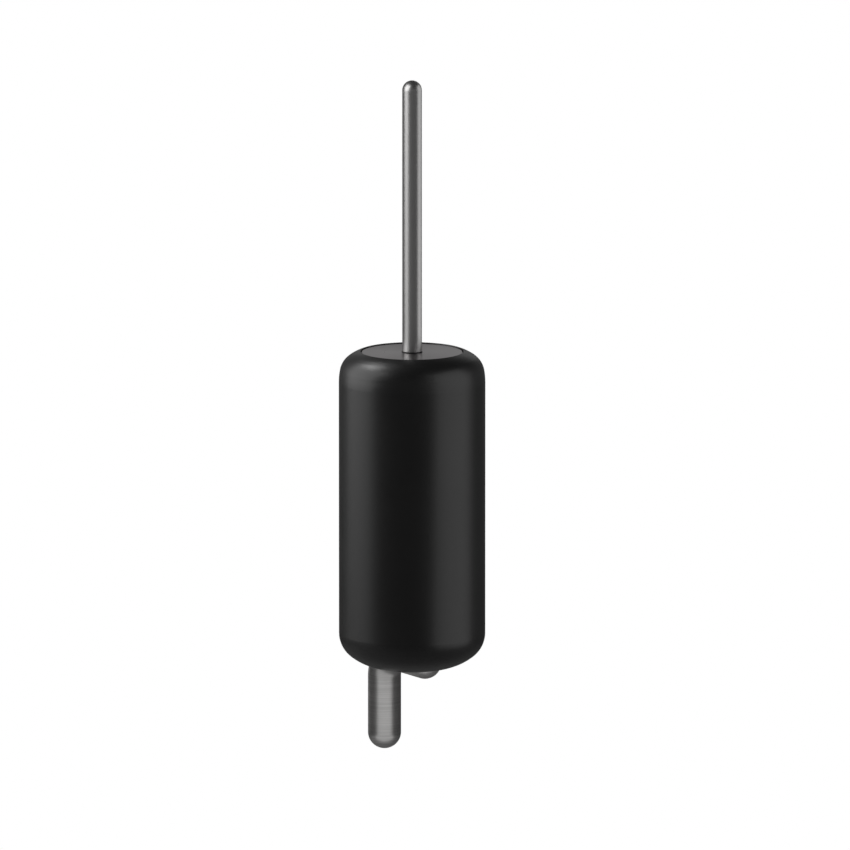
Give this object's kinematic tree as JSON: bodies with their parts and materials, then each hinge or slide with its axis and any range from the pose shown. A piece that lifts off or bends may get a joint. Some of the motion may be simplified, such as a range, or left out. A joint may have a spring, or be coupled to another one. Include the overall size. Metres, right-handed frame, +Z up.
{
  "type": "toilet brush holder",
  "caption": "Wall-hung toilet brush set: rounded cylindrical cup on a bent round bar, with a lift-out liner, a flush round lid and a brush on a slim domed rod handle.",
  "frame": {"origin": "back face of the wall plate, in the plane of the wall, halfway between the plate's two screw holes", "axes": "+Y into the wall, so the set stands out towards -Y; +Z up along the handle; +X to the right of a person facing the wall"},
  "size_m": [0.097, 0.102, 0.4541],
  "materials": {
    "brushed_steel": "circumferentially brushed stainless steel, satin",
    "plain_steel": "plain turned stainless steel",
    "lid_steel": "dark grey satin steel with fine turning marks",
    "cup_black": "satin black, very fine orange peel",
    "liner_grey": "dark grey moulded polypropylene, semi-matt",
    "bush_black": "black acetal, satin",
    "core_black": "black moulded polypropylene, satin",
    "black_rubber": "matt black rubber",
    "bristle": "crimped black nylon bristles"
  },
  "bodies": {
    "holder": {"wall_plate": "brushed_steel", "bracket_bar": "brushed_steel", "wall_socket": "brushed_steel", "leg_end_cap": "brushed_steel", "arm_end_cap": "brushed_steel", "socket_grub_screw": "plain_steel", "seat_bush": "plain_steel", "seat_pad": "black_rubber", "base_screw": "plain_steel", "base_washer": "plain_steel", "cup_shell": "cup_black"},
    "liner": {"liner_cup": "liner_grey", "liner_seat_ring": "black_rubber"},
    "lid": {"lid_disc": "lid_steel", "lid_gasket": "black_rubber", "lid_bush": "bush_black", "bush_clip": "plain_steel"},
    "brush": {"handle_tube": "brushed_steel", "handle_dome": "brushed_steel", "handle_plug": "plain_steel", "shaft_stud": "plain_steel", "stop_washer": "plain_steel", "brush_shaft": "plain_steel", "head_core": "core_black", "bristle_field": "bristle", "crown_bristles": "bristle"}
  },
  "joints": [
    {"name": "liner_lift", "type": "slide", "parent": "holder", "child": "liner", "axis": [0, 0, 1], "range_m": [0, 0.2]},
    {"name": "brush_lift", "type": "slide", "parent": "liner", "child": "lid", "axis": [0, 0, 1], "range_m": [0, 0.2]},
    {"name": "handle_spin", "type": "hinge", "parent": "lid", "child": "brush", "pos_m": [0, -0.0535, 0.1683], "axis": [0, 0, 1], "continuous": true}
  ]
}
